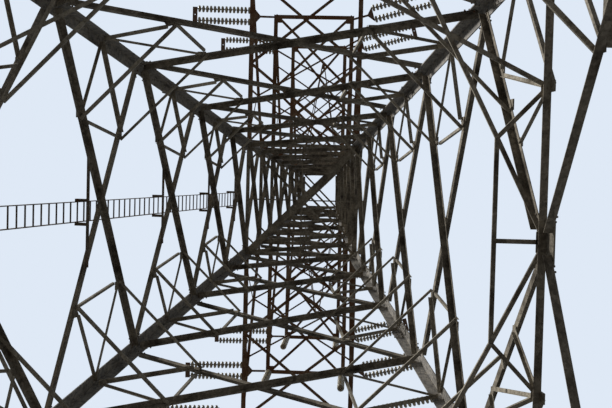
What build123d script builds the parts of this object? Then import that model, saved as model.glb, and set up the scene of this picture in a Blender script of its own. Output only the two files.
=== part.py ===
"""Lattice transmission pylon for a double-circuit line, a 1:2 scale model.

Units are millimetres. +Z is up and the ground is at Z = 0, midway between the four legs.
The crossarms reach out along X, and the line runs along Y. The ladder is on the front, at -Y.
Sides and corners count from the front: side 0 front, 1 right, 2 back, 3 left.
"""

from build123d import *
from itertools import accumulate
from math import atan2, cos, degrees, radians, sin
import os

os.makedirs("parts", exist_ok=True)

# Height of the belt, and the rise of each panel from there to the waist
belt_height = 7550
vee_rise = 1640
first_panel_rise = 2100
second_panel_rise = 2010
third_panel_rise = 1485
fourth_panel_rise = 1050

# Rise of each panel from the waist to the top
lower_stay_rise = 1350
middle_arm_rise = 1315
middle_stay_rise = 1300
top_arm_rise = 1400
top_stay_rise = 1100
peak_foot_rise = 900
peak_rise = 900

# Half widths of the square body, measured to the corner of the legs
base_half = 3450
waist_half = 920
top_half = 440

# Legs: rolled angles, with the corner outwards
leg_flange = 125
leg_thick = 12
upper_leg_flange = 90

# Feet: a base plate with four anchor holes and two ribs under each leg
foot_size = 380
foot_thick = 24
anchor_spacing = 260
anchor_radius = 16
foot_rib_height = 170
foot_rib_width = 110
foot_rib_thick = 12

# Bracing angles, which stop short of each level by half their flange and a gap
brace_flange = 65
brace_thick = 6
upper_brace_flange = 60
upper_brace_thick = 5
end_gap = 28
brace_foot = 220
filler_size = 70

# Belt: the plate at the middle of each side, and where the braces end on it
hub_width = 300
hub_rise = 340
hub_brace_spread = 95
hub_brace_drop = 110
hub_vee_spread = 105
hub_vee_rise = 100

# Level frame at the belt
plan_width = 32
plan_thick = 6
plan_plate_width = 240
plan_plate_depth = 110

# Struts and level frames of the upper body
heavy_tie_width = 105
light_tie_width = 40
rod_width = 20
knee_reach = 310
knee_width = 28
frame_plate_size = 150
strut_lift = 5

# Crossarms
lower_arm_reach = 3640
middle_arm_reach = 3460
top_arm_reach = 3260
peak_reach = 3180
chord_size = 75
chord_thick = 8
stay_size = 50
stay_lift = 10
arm_brace_width = 48
arm_bays = 2
arm_plate_size = 150
peak_chord_size = 45
peak_chord_thick = 20
peak_plate_size = 120
peak_chord_drop = 60

# Ladder up the front to the waist
ladder_foot = 1250
ladder_head_gap = 40
ladder_width = 205
ladder_stand_off = 125
rail_width = 35
rail_thick = 8
rung_pitch = 150
rung_size = 12
ladder_bar_width = 50
ladder_bar_lap = 30
ladder_bar_drop = 300
ladder_rest_heights = (3300, 5400)
ladder_clip_width = 30

# Insulator strings: each shed of the outline stands for a few discs
disc_count = 15
discs_in_shed = 5
disc_pitch = 73
disc_radius = 66
pin_radius = 20
shed_share = 0.7
pair_spacing = 220
link_length = 230
link_width = 36
strap_thick = 8
yoke_thick = 10
yoke_depth = 90
yoke_edge = 35
string_slope = 6
line_angle = 15
string_seat = 55
hanger_length = 90
clamp_hole_radius = 9
pilot_inset = 60
pilot_link = 90

lower_rises = [vee_rise, first_panel_rise, second_panel_rise, third_panel_rise, fourth_panel_rise]
lower_levels = list(accumulate(lower_rises, initial=belt_height))[1:]
waist_height = lower_levels[-1]
upper_rises = [lower_stay_rise, middle_arm_rise, middle_stay_rise, top_arm_rise, top_stay_rise]
upper_rises += [peak_foot_rise, peak_rise - strut_lift - upper_brace_flange]
upper_levels = list(accumulate(upper_rises, initial=waist_height))
peak_foot_height = upper_levels[-2]
top_height = upper_levels[-1] + strut_lift + upper_brace_flange
arm_rows = [
    ("lower", lower_arm_reach, upper_levels[0], upper_levels[1]),
    ("middle", middle_arm_reach, upper_levels[2], upper_levels[3]),
    ("top", top_arm_reach, upper_levels[4], upper_levels[5]),
]
side_names = ["front", "right", "back", "left"]
corner_names = ["front_right", "back_right", "back_left", "front_left"]
lower_slope = (base_half - waist_half) / waist_height
upper_slope = (waist_half - top_half) / (top_height - waist_height)
lower_gap = brace_flange / 2 + end_gap
upper_gap = upper_brace_flange / 2 + end_gap


def body_half(height):
    """Half width of the body, to the legs' outer corner, at a height."""
    if height <= waist_height:
        return base_half - lower_slope * height
    return waist_half - upper_slope * (height - waist_height)


def side_plane(side, height):
    """Plane of one side of the body: X runs level to its right, Y up its slope, Z outwards."""
    slope = lower_slope if height <= waist_height else upper_slope
    foot_half = body_half(height) + slope * height
    flat = Plane(origin=(0, -foot_half, 0), x_dir=(1, 0, 0), z_dir=(0, -1, slope))
    return Plane(Rotation(0, 0, 90 * side) * flat.location)


def inside_half(height):
    """Half width between the legs' inner faces at a height."""
    return body_half(height) - leg_thick / side_plane(0, height).y_dir.Z


def on_side(side, across, height, depth=0.0, reference=None):
    """Point on a side of the body: across from its middle, at a height, depth outwards."""
    plane = side_plane(side, height if reference is None else reference)
    rise = height / plane.y_dir.Z
    return plane.from_local_coords(Vector(across, rise, 0)) + plane.z_dir * depth


def angle_bar(start, end, outwards, flange, thick):
    """Angle bar from start to end: one flange lies on its seat and the other points outwards."""
    along = end - start
    across = along.cross(outwards).normalized()
    with BuildSketch(Plane(origin=start, x_dir=across, z_dir=along)) as section:
        with BuildLine():
            Polyline(
                (-flange / 2, 0),
                (flange / 2, 0),
                (flange / 2, -thick),
                (-flange / 2 + thick, -thick),
                (-flange / 2 + thick, -flange),
                (-flange / 2, -flange),
                close=True,
            )
        make_face()
    return extrude(section.sketch, amount=along.length, mode=Mode.PRIVATE)


def flat_bar(start, end, up, width, thick):
    """Flat bar from start to end, with its width along the direction up."""
    along = end - start
    across = along.cross(up).normalized()
    with BuildSketch(Plane(origin=start, x_dir=across, z_dir=along)) as section:
        Rectangle(thick, width)
    return extrude(section.sketch, amount=along.length, mode=Mode.PRIVATE)


def side_plate(side, across, height, width, rise, depth, thick):
    """Plate that lies in a side of the body, from a depth outwards by its thickness."""
    plane = side_plane(side, height)
    with BuildSketch(plane.offset(depth)) as outline:
        with Locations((across, height / plane.y_dir.Z)):
            Rectangle(width, rise)
    return extrude(outline.sketch, amount=thick, mode=Mode.PRIVATE)


def strip(start, end, width):
    """Straight strip from one point to another, added to the sketch in hand."""
    run = Vector(*end) - Vector(*start)
    middle = Vector(*start) + run * 0.5
    with Locations(Location((middle.X, middle.Y, 0), (0, 0, degrees(atan2(run.Y, run.X))))):
        Rectangle(run.length, width)


def leg_end(side, hand, height, flange, reference=None):
    """Middle of a leg's flange on one side of the body, hand -1 for its left leg."""
    return on_side(side, hand * (body_half(height) - flange / 2), height, 0, reference)


def side_bar(side, low, high, reference, flange, thick, outside):
    """Bracing angle on a side of the body, bolted to the outside or inside of the legs."""
    normal = side_plane(side, reference).z_dir
    if outside:
        return angle_bar(low, high, normal, flange, thick)
    seat = normal * -leg_thick
    return angle_bar(low + seat, high + seat, normal * -1, flange, thick)


def crossing_height(bottom, top, flange, gap):
    """Height where the two diagonals of a panel cross on the side's middle."""
    low_half = body_half(bottom + gap) - flange / 2
    high_half = body_half(top - gap) - flange / 2
    return bottom + gap + (top - bottom - 2 * gap) * low_half / (low_half + high_half)


def make_leg(corner):
    """Leg angle from its foot to the waist, and the lighter one from there to the top."""
    x_sign = 1 if corner in (0, 1) else -1
    y_sign = -1 if corner in (0, 3) else 1
    spans = [(foot_thick, waist_height, leg_flange), (waist_height, top_height, upper_leg_flange)]
    with BuildPart() as leg:
        for low, high, flange in spans:
            low_half = body_half(low)
            lean = body_half(high) - low_half
            with BuildSketch(Plane.XY.offset(low)):
                with BuildLine():
                    points = [(0, 0), (-flange, 0), (-flange, -leg_thick), (-leg_thick, -leg_thick)]
                    points += [(-leg_thick, -flange), (0, -flange)]
                    corners = [(x_sign * (low_half + x), y_sign * (low_half + y)) for x, y in points]
                    Polyline(*corners, close=True)
                make_face()
            path = Vector(x_sign * lean, y_sign * lean, high - low)
            extrude(amount=path.length, dir=path)
    return leg


def make_foot(corner):
    """Base plate under a leg, with four anchor holes and a rib against each side of the leg."""
    heel = body_half(foot_thick)
    middle = heel - leg_flange / 2
    rib_top = foot_thick + foot_rib_height
    with BuildPart() as foot:
        with BuildSketch():
            with Locations(Rotation(0, 0, 90 * corner) * Location((middle, -middle))):
                Rectangle(foot_size, foot_size)
                with GridLocations(anchor_spacing, anchor_spacing, 2, 2):
                    Circle(anchor_radius, mode=Mode.SUBTRACT)
        extrude(amount=foot_thick)
        for side, across in ((corner, middle), (corner + 1, -middle)):
            flat = Plane(origin=(across + foot_rib_thick / 2, 0, 0), x_dir=(0, -1, 0), z_dir=(-1, 0, 0))
            with BuildSketch(Plane(Rotation(0, 0, 90 * side) * flat.location)):
                with BuildLine():
                    Polyline(
                        (heel, foot_thick),
                        (heel + foot_rib_width, foot_thick),
                        (body_half(rib_top) + foot_rib_thick, rib_top),
                        (body_half(rib_top), rib_top),
                        close=True,
                    )
                make_face()
            extrude(amount=foot_rib_thick)
    return foot


def make_side_bracing(side):
    """Inverted V below the belt, V above it and four crossed panels, for one side of the body."""
    bars = []
    for hand in (-1, 1):
        low = leg_end(side, hand, foot_thick + brace_foot, leg_flange)
        high = on_side(side, hand * hub_brace_spread, belt_height - hub_brace_drop)
        bars.append(side_bar(side, low, high, 0, brace_flange, brace_thick, hand < 0))
        low = on_side(side, hand * hub_vee_spread, belt_height + hub_vee_rise)
        high = leg_end(side, hand, lower_levels[0] - lower_gap, leg_flange)
        bars.append(side_bar(side, low, high, 0, brace_flange, brace_thick, hand > 0))
        for bottom, top in zip(lower_levels, lower_levels[1:]):
            low = leg_end(side, -hand, bottom + lower_gap, leg_flange)
            high = leg_end(side, hand, top - lower_gap, leg_flange)
            bars.append(side_bar(side, low, high, 0, brace_flange, brace_thick, hand > 0))
    with BuildPart() as bracing:
        add(bars)
    return bracing


def make_upper_bracing(side):
    """Crossed panels of one side of the upper body."""
    bars = []
    size = (upper_brace_flange, upper_brace_thick)
    for bottom, top in zip(upper_levels, upper_levels[1:]):
        for hand in (-1, 1):
            low = leg_end(side, -hand, bottom + upper_gap, upper_leg_flange, top_height)
            high = leg_end(side, hand, top - upper_gap, upper_leg_flange, top_height)
            bars.append(side_bar(side, low, high, top_height, *size, hand > 0))
    with BuildPart() as bracing:
        add(bars)
    return bracing


def make_fillers(side):
    """Filler plates between the two diagonals of each crossing on one side."""
    plates = []
    for bottom, top in zip(lower_levels, lower_levels[1:]):
        height = crossing_height(bottom, top, leg_flange, lower_gap)
        plates.append(side_plate(side, 0, height, filler_size, filler_size, -leg_thick, leg_thick))
    for bottom, top in zip(upper_levels, upper_levels[1:]):
        height = crossing_height(bottom, top, upper_leg_flange, upper_gap)
        size = upper_brace_flange
        plates.append(side_plate(side, 0, height, size, size, -leg_thick, leg_thick))
    with BuildPart() as fillers:
        add(plates)
    return fillers


def make_belt(side):
    """Level angle of a side at the belt, with the hub plate where the braces meet."""
    ends = [leg_end(side, hand, belt_height, leg_flange) for hand in (-1, 1)]
    with BuildPart() as belt:
        add(side_bar(side, ends[0], ends[1], 0, brace_flange, brace_thick, True))
        add(side_plate(side, 0, belt_height, hub_width, hub_rise, -leg_thick, leg_thick))
    return belt


def belt_truss_outline():
    """Plan of the trusses along the four sides of the belt, added to the sketch in hand."""
    edge = body_half(belt_height + plan_thick)
    seat = edge - inside_half(belt_height + plan_thick)
    inner = -edge * 5 / 6
    for side in range(4):
        with Locations(Rotation(0, 0, 90 * side)):
            with Locations((0, -edge + seat + plan_plate_depth / 2)):
                Rectangle(plan_plate_width, plan_plate_depth)
            strip((0, -edge + seat), (0, inner), plan_width)
            strip((-edge / 3, inner), (edge / 3, inner), plan_width)
            for hand in (-1, 1):
                with Locations((hand * edge / 2, -edge + plan_plate_depth / 2)):
                    Rectangle(plan_plate_depth, plan_plate_depth)
                strip((0, -edge), (hand * edge / 3, inner), plan_width)
                strip((hand * edge / 3, inner), (hand * edge / 2, -edge), plan_width)
            with Locations((0, -edge)):
                Rectangle(hub_width, 2 * seat, mode=Mode.SUBTRACT)
    Rectangle(2 * edge, 2 * edge, mode=Mode.INTERSECT)


def make_belt_plan():
    """Level truss along each side of the belt, seated on the hub plate and at the quarter points."""
    with BuildPart() as plan:
        with BuildSketch(Plane.XY.offset(belt_height)):
            belt_truss_outline()
        extrude(amount=plan_thick)
    return plan


def make_corner_ties():
    """Crossed ties at each corner of the belt, from one side's truss to the next side's plate."""
    edge = body_half(belt_height + plan_thick)
    with BuildSketch() as trusses:
        belt_truss_outline()
    with BuildPart() as ties:
        with BuildSketch(Plane.XY.offset(belt_height)):
            for corner in range(4):
                with Locations(Rotation(0, 0, 90 * corner)):
                    strip((edge / 3, -edge * 5 / 6), (edge, -edge / 2), plan_width)
                    strip((edge * 5 / 6, -edge / 3), (edge / 2, -edge), plan_width)
            Rectangle(2 * edge, 2 * edge, mode=Mode.INTERSECT)
            add(trusses.sketch_local, mode=Mode.SUBTRACT)
        extrude(amount=plan_thick)
    return ties


def make_struts():
    """Level angles between the legs, just above each level of the upper body."""
    bars = []
    for level in upper_levels:
        middle = level + strut_lift + upper_brace_flange / 2
        reach = body_half(middle + upper_brace_flange / 2) - upper_leg_flange
        for side in range(4):
            ends = [on_side(side, hand * reach, middle, 0, top_height) for hand in (-1, 1)]
            inwards = side_plane(side, top_height).z_dir * -1
            bars.append(angle_bar(ends[0], ends[1], inwards, upper_brace_flange, upper_brace_thick))
    with BuildPart() as struts:
        add(bars)
    return struts


def make_level_frame(frames):
    """Level frames on the struts' lower flanges: ties given by their ends and width, and knees."""
    with BuildPart() as level_frame:
        for level, ties, has_knees, plate_size in frames:
            floor = level + strut_lift + upper_brace_thick
            inner = inside_half(floor + plan_thick)
            with BuildSketch(Plane.XY.offset(floor)):
                for start, end, width in ties:
                    strip([inner * share for share in start], [inner * share for share in end], width)
                if plate_size:
                    Rectangle(plate_size, plate_size)
                if has_knees:
                    for corner in range(4):
                        with Locations(Rotation(0, 0, 90 * corner)):
                            strip((inner - knee_reach, -inner), (inner, -inner + knee_reach), knee_width)
                Rectangle(2 * inner, 2 * inner, mode=Mode.INTERSECT)
            extrude(amount=plan_thick)
    return level_frame


def panel_outline(length, near_half, far_half, chord, bays):
    """Two chords and the crossed bays between them, added to the sketch in hand."""
    near = near_half - chord / 2
    taper = far_half - near_half
    for hand in (-1, 1):
        strip((0, hand * near), (length, hand * (near + taper)), chord)
        for bay in range(bays):
            start = bay / bays
            stop = (bay + 1) / bays
            low = (length * start, -hand * (near + taper * start))
            high = (length * stop, hand * (near + taper * stop))
            strip(low, high, arm_brace_width)


def string_plane(hand, end, reach, height):
    """Plane of a twin tension string: X along it from its hanger, Y across the pair."""
    slope = radians(string_slope)
    turn = radians(line_angle) if end > 0 else 0
    along = Vector(sin(turn) * cos(slope), end * cos(turn) * cos(slope), -sin(slope))
    across = Vector(0, 0, 1).cross(along).normalized()
    middle = chord_size / 2
    hanger = (hand * (reach - middle), end * (body_half(height) + string_seat), height + middle)
    return Plane(origin=hanger, x_dir=along, z_dir=along.cross(across))


def make_arm(hand, reach, height, stay_height):
    """Crossarm: a level panel of crossed bays, two stays from above and two string hangers."""
    side = 1 if hand > 0 else 3
    half = body_half(height)
    stay_half = body_half(stay_height)
    root = half - leg_flange
    stay_root = Vector(hand * (stay_half - stay_size), 0, stay_height + stay_lift + stay_size / 2)
    stay_tip = Vector(hand * (reach - chord_thick), 0, height)
    stay_run = stay_tip - stay_root
    floor = Plane(origin=(hand * root, 0, height), x_dir=(hand, 0, 0), z_dir=(0, 0, 1))
    roof = Plane(origin=stay_root, x_dir=stay_run, z_dir=stay_run.cross(Vector(0, hand, 0)))
    with BuildPart() as arm:
        for plane, length, near_half, size, bays in (
            (floor, reach - root, half, chord_size, arm_bays),
            (roof, stay_run.length, stay_half, stay_size, 0),
        ):
            with BuildSketch(plane):
                panel_outline(length, near_half, half, size, bays)
                if plane is floor:
                    strip((length - size / 2, -half), (length - size / 2, half), size)
                    for end in (-1, 1):
                        with Locations((length - arm_plate_size / 2, end * (half - arm_plate_size / 2))):
                            Rectangle(arm_plate_size, arm_plate_size)
            extrude(amount=chord_thick)
            with BuildSketch(plane):
                for end in (-1, 1):
                    near = end * (near_half - chord_thick / 2)
                    far = end * (half - chord_thick / 2)
                    strip((0, near), (length, far), chord_thick)
                if plane is floor:
                    strip((length - chord_thick / 2, -half), (length - chord_thick / 2, half), chord_thick)
            extrude(amount=size)
        for end in (-1, 1):
            with BuildSketch(string_plane(hand, end, reach, height).offset(-yoke_thick / 2)) as hanger:
                with Locations((-hanger_length / 2 + link_width / 2, 0)):
                    Rectangle(hanger_length, link_width)
            extrude(hanger.sketch, amount=yoke_thick)
        split(bisect_by=side_plane(side, top_height), keep=Keep.TOP)
    return arm


def make_peak_arm(hand):
    """Earthwire arm: four chords that meet at a point level with the top of the body."""
    side = 1 if hand > 0 else 3
    tip = Vector(hand * peak_reach, 0, top_height - peak_chord_drop)
    bars = []
    for height in (peak_foot_height, top_height - peak_chord_drop):
        for end in (-1, 1):
            edge = body_half(height) - peak_chord_thick / 2
            root = Vector(hand * (body_half(height) - upper_leg_flange), end * edge, height)
            point = tip + Vector(0, end * peak_chord_thick, 0)
            bars.append(flat_bar(root, point, Vector(0, 0, 1), peak_chord_size, peak_chord_thick))
    plate_ends = [tip + Vector(hand * peak_plate_size * share, 0, 0) for share in (-1, 0.5)]
    bars.append(flat_bar(plate_ends[0], plate_ends[1], Vector(0, 0, 1), peak_plate_size, peak_chord_size))
    with BuildPart() as arm:
        add(bars)
        split(bisect_by=side_plane(side, top_height), keep=Keep.TOP)
    return arm


def make_ladder(low, high):
    """Straight ladder up the front: two flat rails and the rungs between them."""
    normal = side_plane(0, low).z_dir
    with BuildPart() as ladder:
        for across in (-ladder_width / 2, ladder_width / 2):
            start = on_side(0, across, low, ladder_stand_off)
            end = on_side(0, across, high, ladder_stand_off)
            add(flat_bar(start, end, normal, rail_width, rail_thick))
        count = int((end - start).length / rung_pitch)
        foot = on_side(0, -ladder_width / 2, low, ladder_stand_off)
        with BuildSketch(Plane(origin=foot, x_dir=normal * -1, z_dir=(1, 0, 0))):
            with Locations((0, rung_pitch * count / 2)):
                with GridLocations(0, rung_pitch, 1, count):
                    Rectangle(rung_size, rung_size)
        extrude(amount=ladder_width)
    return ladder


def brace_spread(height):
    """Distance from the front's middle to its inverted V at a height below the belt."""
    low = foot_thick + brace_foot
    low_spread = body_half(low) - leg_flange / 2
    share = (height - low) / (belt_height - hub_brace_drop - low)
    return low_spread + (hub_brace_spread - low_spread) * share


def make_ladder_bars():
    """Level bars between the front's braces that carry the ladder on clips."""
    rests = [(height, brace_spread(height)) for height in ladder_rest_heights]
    for bottom, top in zip(lower_levels, lower_levels[1:]):
        cross = crossing_height(bottom, top, leg_flange, lower_gap)
        drop = ladder_bar_drop * (top - bottom) / first_panel_rise
        foot_spread = body_half(bottom + lower_gap) - leg_flange / 2
        rests.append((cross - drop, foot_spread * drop / (cross - bottom - lower_gap)))
    clip = (ladder_width + rail_thick + ladder_clip_width) / 2
    clip_size = (ladder_clip_width, ladder_bar_width)
    pieces = []
    for height, spread in rests:
        width = 2 * (spread + ladder_bar_lap)
        pieces.append(side_plate(0, 0, height, width, ladder_bar_width, -leg_thick, leg_thick))
        for hand in (-1, 1):
            pieces.append(side_plate(0, hand * clip, height, *clip_size, 0, ladder_stand_off))
    for hand in (-1, 1):
        reach = ladder_stand_off - brace_thick
        pieces.append(side_plate(0, hand * clip, belt_height, *clip_size, brace_thick, reach))
    with BuildPart() as bars:
        add(pieces)
    return bars


def make_disc_string():
    """Insulator string on its pin: a zigzag outline cut square from two directions."""
    outline = [(pin_radius, 0)]
    for first in range(0, disc_count, discs_in_shed):
        last = min(first + discs_in_shed, disc_count)
        outline.append((disc_radius, (first + (last - first) * shed_share) * disc_pitch))
        outline.append((pin_radius, last * disc_pitch))
    outline += [(-radius, distance) for radius, distance in reversed(outline)]
    with BuildPart() as string:
        with BuildSketch(Plane.XZ):
            with BuildLine():
                Polyline(*outline, close=True)
            make_face()
        extrude(amount=disc_radius, both=True)
        with BuildSketch(Plane.YZ):
            with BuildLine():
                Polyline(*outline, close=True)
            make_face()
        extrude(amount=disc_radius, both=True, mode=Mode.INTERSECT)
    return string


def make_tension_strings(end, disc_string):
    """Twin tension strings at the six arm ends, towards one end of the line."""
    places = []
    for row, reach, height, stay_height in arm_rows:
        for hand in (-1, 1):
            plane = string_plane(hand, end, reach, height)
            for pair in (-0.5, 0.5):
                start = plane.from_local_coords(Vector(link_length + yoke_depth, pair * pair_spacing, 0))
                places.append(Plane(origin=start, x_dir=plane.y_dir, z_dir=plane.x_dir).location)
    with BuildPart() as strings:
        with Locations(*places):
            add(disc_string.part)
    return strings


def make_tension_fittings(end):
    """Links and yoke plates at both ends of the twin tension strings."""
    yoke_width = pair_spacing + 2 * yoke_edge
    outer = link_length + yoke_depth + disc_count * disc_pitch
    with BuildPart() as fittings:
        for row, reach, height, stay_height in arm_rows:
            for hand in (-1, 1):
                plane = string_plane(hand, end, reach, height)
                for offset in (yoke_thick / 2, -yoke_thick / 2 - strap_thick):
                    with BuildSketch(plane.offset(offset)) as strap:
                        with Locations((link_length / 2, 0)):
                            Rectangle(link_length + link_width, link_width)
                    extrude(strap.sketch, amount=strap_thick)
                with BuildSketch(plane.offset(-yoke_thick / 2)) as yokes:
                    with BuildLine():
                        Polyline(
                            (link_length - link_width / 2, link_width / 2),
                            (link_length + yoke_depth, yoke_width / 2),
                            (link_length + yoke_depth, -yoke_width / 2),
                            (link_length - link_width / 2, -link_width / 2),
                            close=True,
                        )
                    make_face()
                    with Locations((outer + yoke_depth / 2, 0)):
                        Rectangle(yoke_depth, yoke_width)
                        Circle(clamp_hole_radius, mode=Mode.SUBTRACT)
                extrude(yokes.sketch, amount=yoke_thick)
    return fittings


def make_pilot_strings(disc_string):
    """Short strings that hang from the arm ends on the outer side of the line's bend."""
    places = []
    for row, reach, height, stay_height in arm_rows:
        for end in (-1, 1):
            inset = body_half(height) - pilot_inset
            top = (-reach + chord_size / 2, end * inset, height - pilot_link)
            places.append(Plane(origin=top, z_dir=(0, 0, -1)).location)
    with BuildPart() as strings:
        with Locations(*places):
            add(disc_string.part)
    return strings


def make_pilot_fittings():
    """Hanger plates above the pilot strings and clamp plates below them."""
    bars = []
    for row, reach, height, stay_height in arm_rows:
        for end in (-1, 1):
            inset = body_half(height) - pilot_inset
            foot = height - pilot_link - disc_count * disc_pitch
            for top in (height, foot):
                start = Vector(-reach + chord_size / 2, end * inset, top)
                low = start - Vector(0, 0, pilot_link)
                bars.append(flat_bar(start, low, Vector(1, 0, 0), link_width, yoke_thick))
    with BuildPart() as fittings:
        add(bars)
    return fittings


def save(piece, name):
    """Label a finished piece and write it to its own file."""
    piece.part.label = name
    export_step(piece.part, f"parts/{name}.step")


heavy_tie = ((-1, -1), (1, 1), heavy_tie_width)
rising_tie = ((-1, -1), (1, 1), light_tie_width)
falling_tie = ((-1, 1), (1, -1), light_tie_width)
rods = [((-1, 0), (1, 0), rod_width), ((0, -1), (0, 1), rod_width)]
waist_frames = [(upper_levels[0], [heavy_tie, falling_tie] + rods, True, frame_plate_size)]
upper_frames = [
    (upper_levels[1], [], True, 0),
    (upper_levels[2], [rising_tie, falling_tie], False, 0),
    (upper_levels[4], [rising_tie, falling_tie], False, 0),
    (upper_levels[-1], [falling_tie], False, 0),
]

for corner, name in enumerate(corner_names):
    save(make_leg(corner), f"leg_{name}")
    save(make_foot(corner), f"foot_{name}")
for side, name in enumerate(side_names):
    save(make_side_bracing(side), f"lower_bracing_{name}")
    save(make_upper_bracing(side), f"upper_bracing_{name}")
    save(make_fillers(side), f"fillers_{name}")
    save(make_belt(side), f"belt_{name}")
save(make_belt_plan(), "belt_plan_bracing")
save(make_corner_ties(), "belt_corner_ties")
save(make_struts(), "body_struts")
save(make_level_frame(waist_frames), "waist_frame")
save(make_level_frame(upper_frames), "upper_frames")
for hand, hand_name in ((-1, "left"), (1, "right")):
    for row, reach, height, stay_height in arm_rows:
        save(make_arm(hand, reach, height, stay_height), f"arm_{row}_{hand_name}")
    save(make_peak_arm(hand), f"earthwire_arm_{hand_name}")
save(make_ladder(ladder_foot, waist_height - ladder_head_gap), "ladder_lower")
save(make_ladder_bars(), "ladder_bars")
string = make_disc_string()
for end, name in ((-1, "front"), (1, "back")):
    save(make_tension_strings(end, string), f"tension_strings_{name}")
    save(make_tension_fittings(end), f"tension_fittings_{name}")
save(make_pilot_strings(string), "pilot_strings")
save(make_pilot_fittings(), "pilot_fittings")
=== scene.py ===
# %% [markdown]
# # A lattice transmission pylon
# This is a 1:2 scale model of a double-circuit tower, seen from low down between its legs.
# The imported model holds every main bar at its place. This script adds what a fitter would add:
# the finest bracing, gusset plates, bolts, glass discs, and the finish that years outdoors leave.

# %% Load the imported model
import itertools
import math

import bmesh
import bpy
from mathutils import Matrix, Vector


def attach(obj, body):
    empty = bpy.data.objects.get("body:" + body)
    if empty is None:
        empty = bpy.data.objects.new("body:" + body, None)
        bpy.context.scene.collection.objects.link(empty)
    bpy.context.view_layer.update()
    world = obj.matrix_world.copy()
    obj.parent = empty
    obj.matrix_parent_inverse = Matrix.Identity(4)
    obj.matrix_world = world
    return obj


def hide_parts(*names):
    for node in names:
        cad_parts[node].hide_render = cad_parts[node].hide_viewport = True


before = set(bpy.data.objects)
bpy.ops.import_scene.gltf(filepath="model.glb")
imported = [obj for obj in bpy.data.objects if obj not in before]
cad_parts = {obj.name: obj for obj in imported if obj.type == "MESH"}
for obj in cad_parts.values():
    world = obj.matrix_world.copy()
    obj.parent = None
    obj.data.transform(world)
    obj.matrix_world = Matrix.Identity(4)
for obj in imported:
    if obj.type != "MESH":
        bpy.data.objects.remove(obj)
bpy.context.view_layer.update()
print("CAD nodes:", len(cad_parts))

# %% [markdown]
# ## The viewpoint
# The photograph was taken from eye height inside the base, looking almost straight up.
# A camera is a matrix of three directions and a place. The right, up and back directions here
# were solved from where the legs' panel points lie in the picture, so straight bars land on
# straight bars. The lens length follows from the picture's width of 612 pixels.

# %% Camera
picture_width = 612
focal_pixels = 918.6
eye = Vector((0.465, 0.845, 0.850))
right = Vector((0.02511, 0.99831, 0.05235))
up = Vector((0.99908, -0.02688, 0.03341))
back = right.cross(up).normalized()
up = back.cross(right).normalized()

lens = bpy.data.cameras.new("viewpoint")
lens.sensor_width = 36
lens.lens = lens.sensor_width * focal_pixels / picture_width
lens.clip_start = 0.01
lens.clip_end = 500
camera = bpy.data.objects.new("viewpoint", lens)
bpy.context.scene.collection.objects.link(camera)
axes = Matrix((right.normalized(), up, back)).transposed().to_4x4()
camera.matrix_world = Matrix.Translation(eye) @ axes
bpy.context.scene.camera = camera
print("lens:", round(lens.lens, 1), "mm")

# %% [markdown]
# ## Measures of the tower
# Blender works in metres, and the model's own sizes are repeated here once, so that each new
# piece can be placed by the same rule as the bar it is bolted to. A side of the body leans
# inwards, so a point on it is given by its distance from the middle, its height, and its depth
# outwards from the face of the legs.

# %% Sizes of the body
belt_height = 7.55
panel_levels = [9.19, 11.29, 13.30, 14.785, 15.835]
waist_height = panel_levels[-1]
upper_levels = [15.835, 17.185, 18.5, 19.8, 21.2, 22.3, 23.2, 24.035]
top_height = 24.1
base_half, waist_half, top_half = 3.45, 0.92, 0.44
leg_flange, leg_thick, upper_leg_flange = 0.125, 0.012, 0.09
brace_flange, brace_thick, brace_gap, upper_gap = 0.065, 0.006, 0.0605, 0.058
lower_slope = (base_half - waist_half) / waist_height
upper_slope = (waist_half - top_half) / (top_height - waist_height)
side_names = ["front", "right", "back", "left"]
print("lean of the legs:", round(math.degrees(math.atan(lower_slope)), 2), "degrees")

# %% Points on the body


def body_half(height):
    """Half width of the body at a height, to the corner of the legs."""
    if height <= waist_height:
        return base_half - lower_slope * height
    return waist_half - upper_slope * (height - waist_height)


def side_turn(side):
    """Turn about the tower's axis that brings the front side to this one."""
    return Matrix.Rotation(side * math.pi / 2, 3, "Z")


def side_normal(side, upper=False):
    """Direction that points straight out of a side of the body."""
    slope = upper_slope if upper else lower_slope
    return side_turn(side) @ Vector((0, -1, slope)).normalized()


def on_side(side, across, height, depth=0.0, upper=False):
    """Point on a side of the body, counted from its middle."""
    point = side_turn(side) @ Vector((across, -body_half(height), height))
    return point + side_normal(side, upper) * depth


def on_leg(side, hand, height, flange=leg_flange, depth=0.0, upper=False):
    """Middle of a leg's flange on one side, hand -1 for the leg on the left."""
    return on_side(side, hand * (body_half(height) - flange / 2), height, depth, upper)


print("half width at the belt:", round(body_half(belt_height), 3), "m")

# %% [markdown]
# ## Colours and a helper for nodes
# Paint charts give colours as sRGB hex values, but Blender mixes light in linear numbers, so
# one function turns the first into the second. A second function adds one shader node with its
# settings and its links, which keeps each material readable from top to bottom.

# %% Helpers for materials


def colour(code):
    """Linear colour for an sRGB hex code."""
    channels = [int(code[place:place + 2], 16) / 255 for place in (1, 3, 5)]
    return [c / 12.92 if c <= 0.04045 else ((c + 0.055) / 1.055) ** 2.4 for c in channels] + [1]


def new_material(name):
    """Empty material with its Principled shader, both ready for nodes."""
    material = bpy.data.materials.new(name)
    material.use_nodes = True
    return material.node_tree, material.node_tree.nodes["Principled BSDF"]


def add_node(tree, kind, settings, links):
    """One node: settings are its own properties or input values, links feed its inputs."""
    node = tree.nodes.new(kind)
    for name, value in settings.items():
        if isinstance(name, str) and hasattr(node, name):
            setattr(node, name, value)
        else:
            node.inputs[name].default_value = value
    for name, socket in links.items():
        tree.links.new(socket, node.inputs[name])
    return node


def set_ramp(node, stops):
    """Stops of a colour ramp, as pairs of place and colour."""
    ramp = node.color_ramp
    while len(ramp.elements) < len(stops):
        ramp.elements.new(0.5)
    for element, (place, shade) in zip(ramp.elements, stops):
        element.position = place
        element.color = shade


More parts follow.
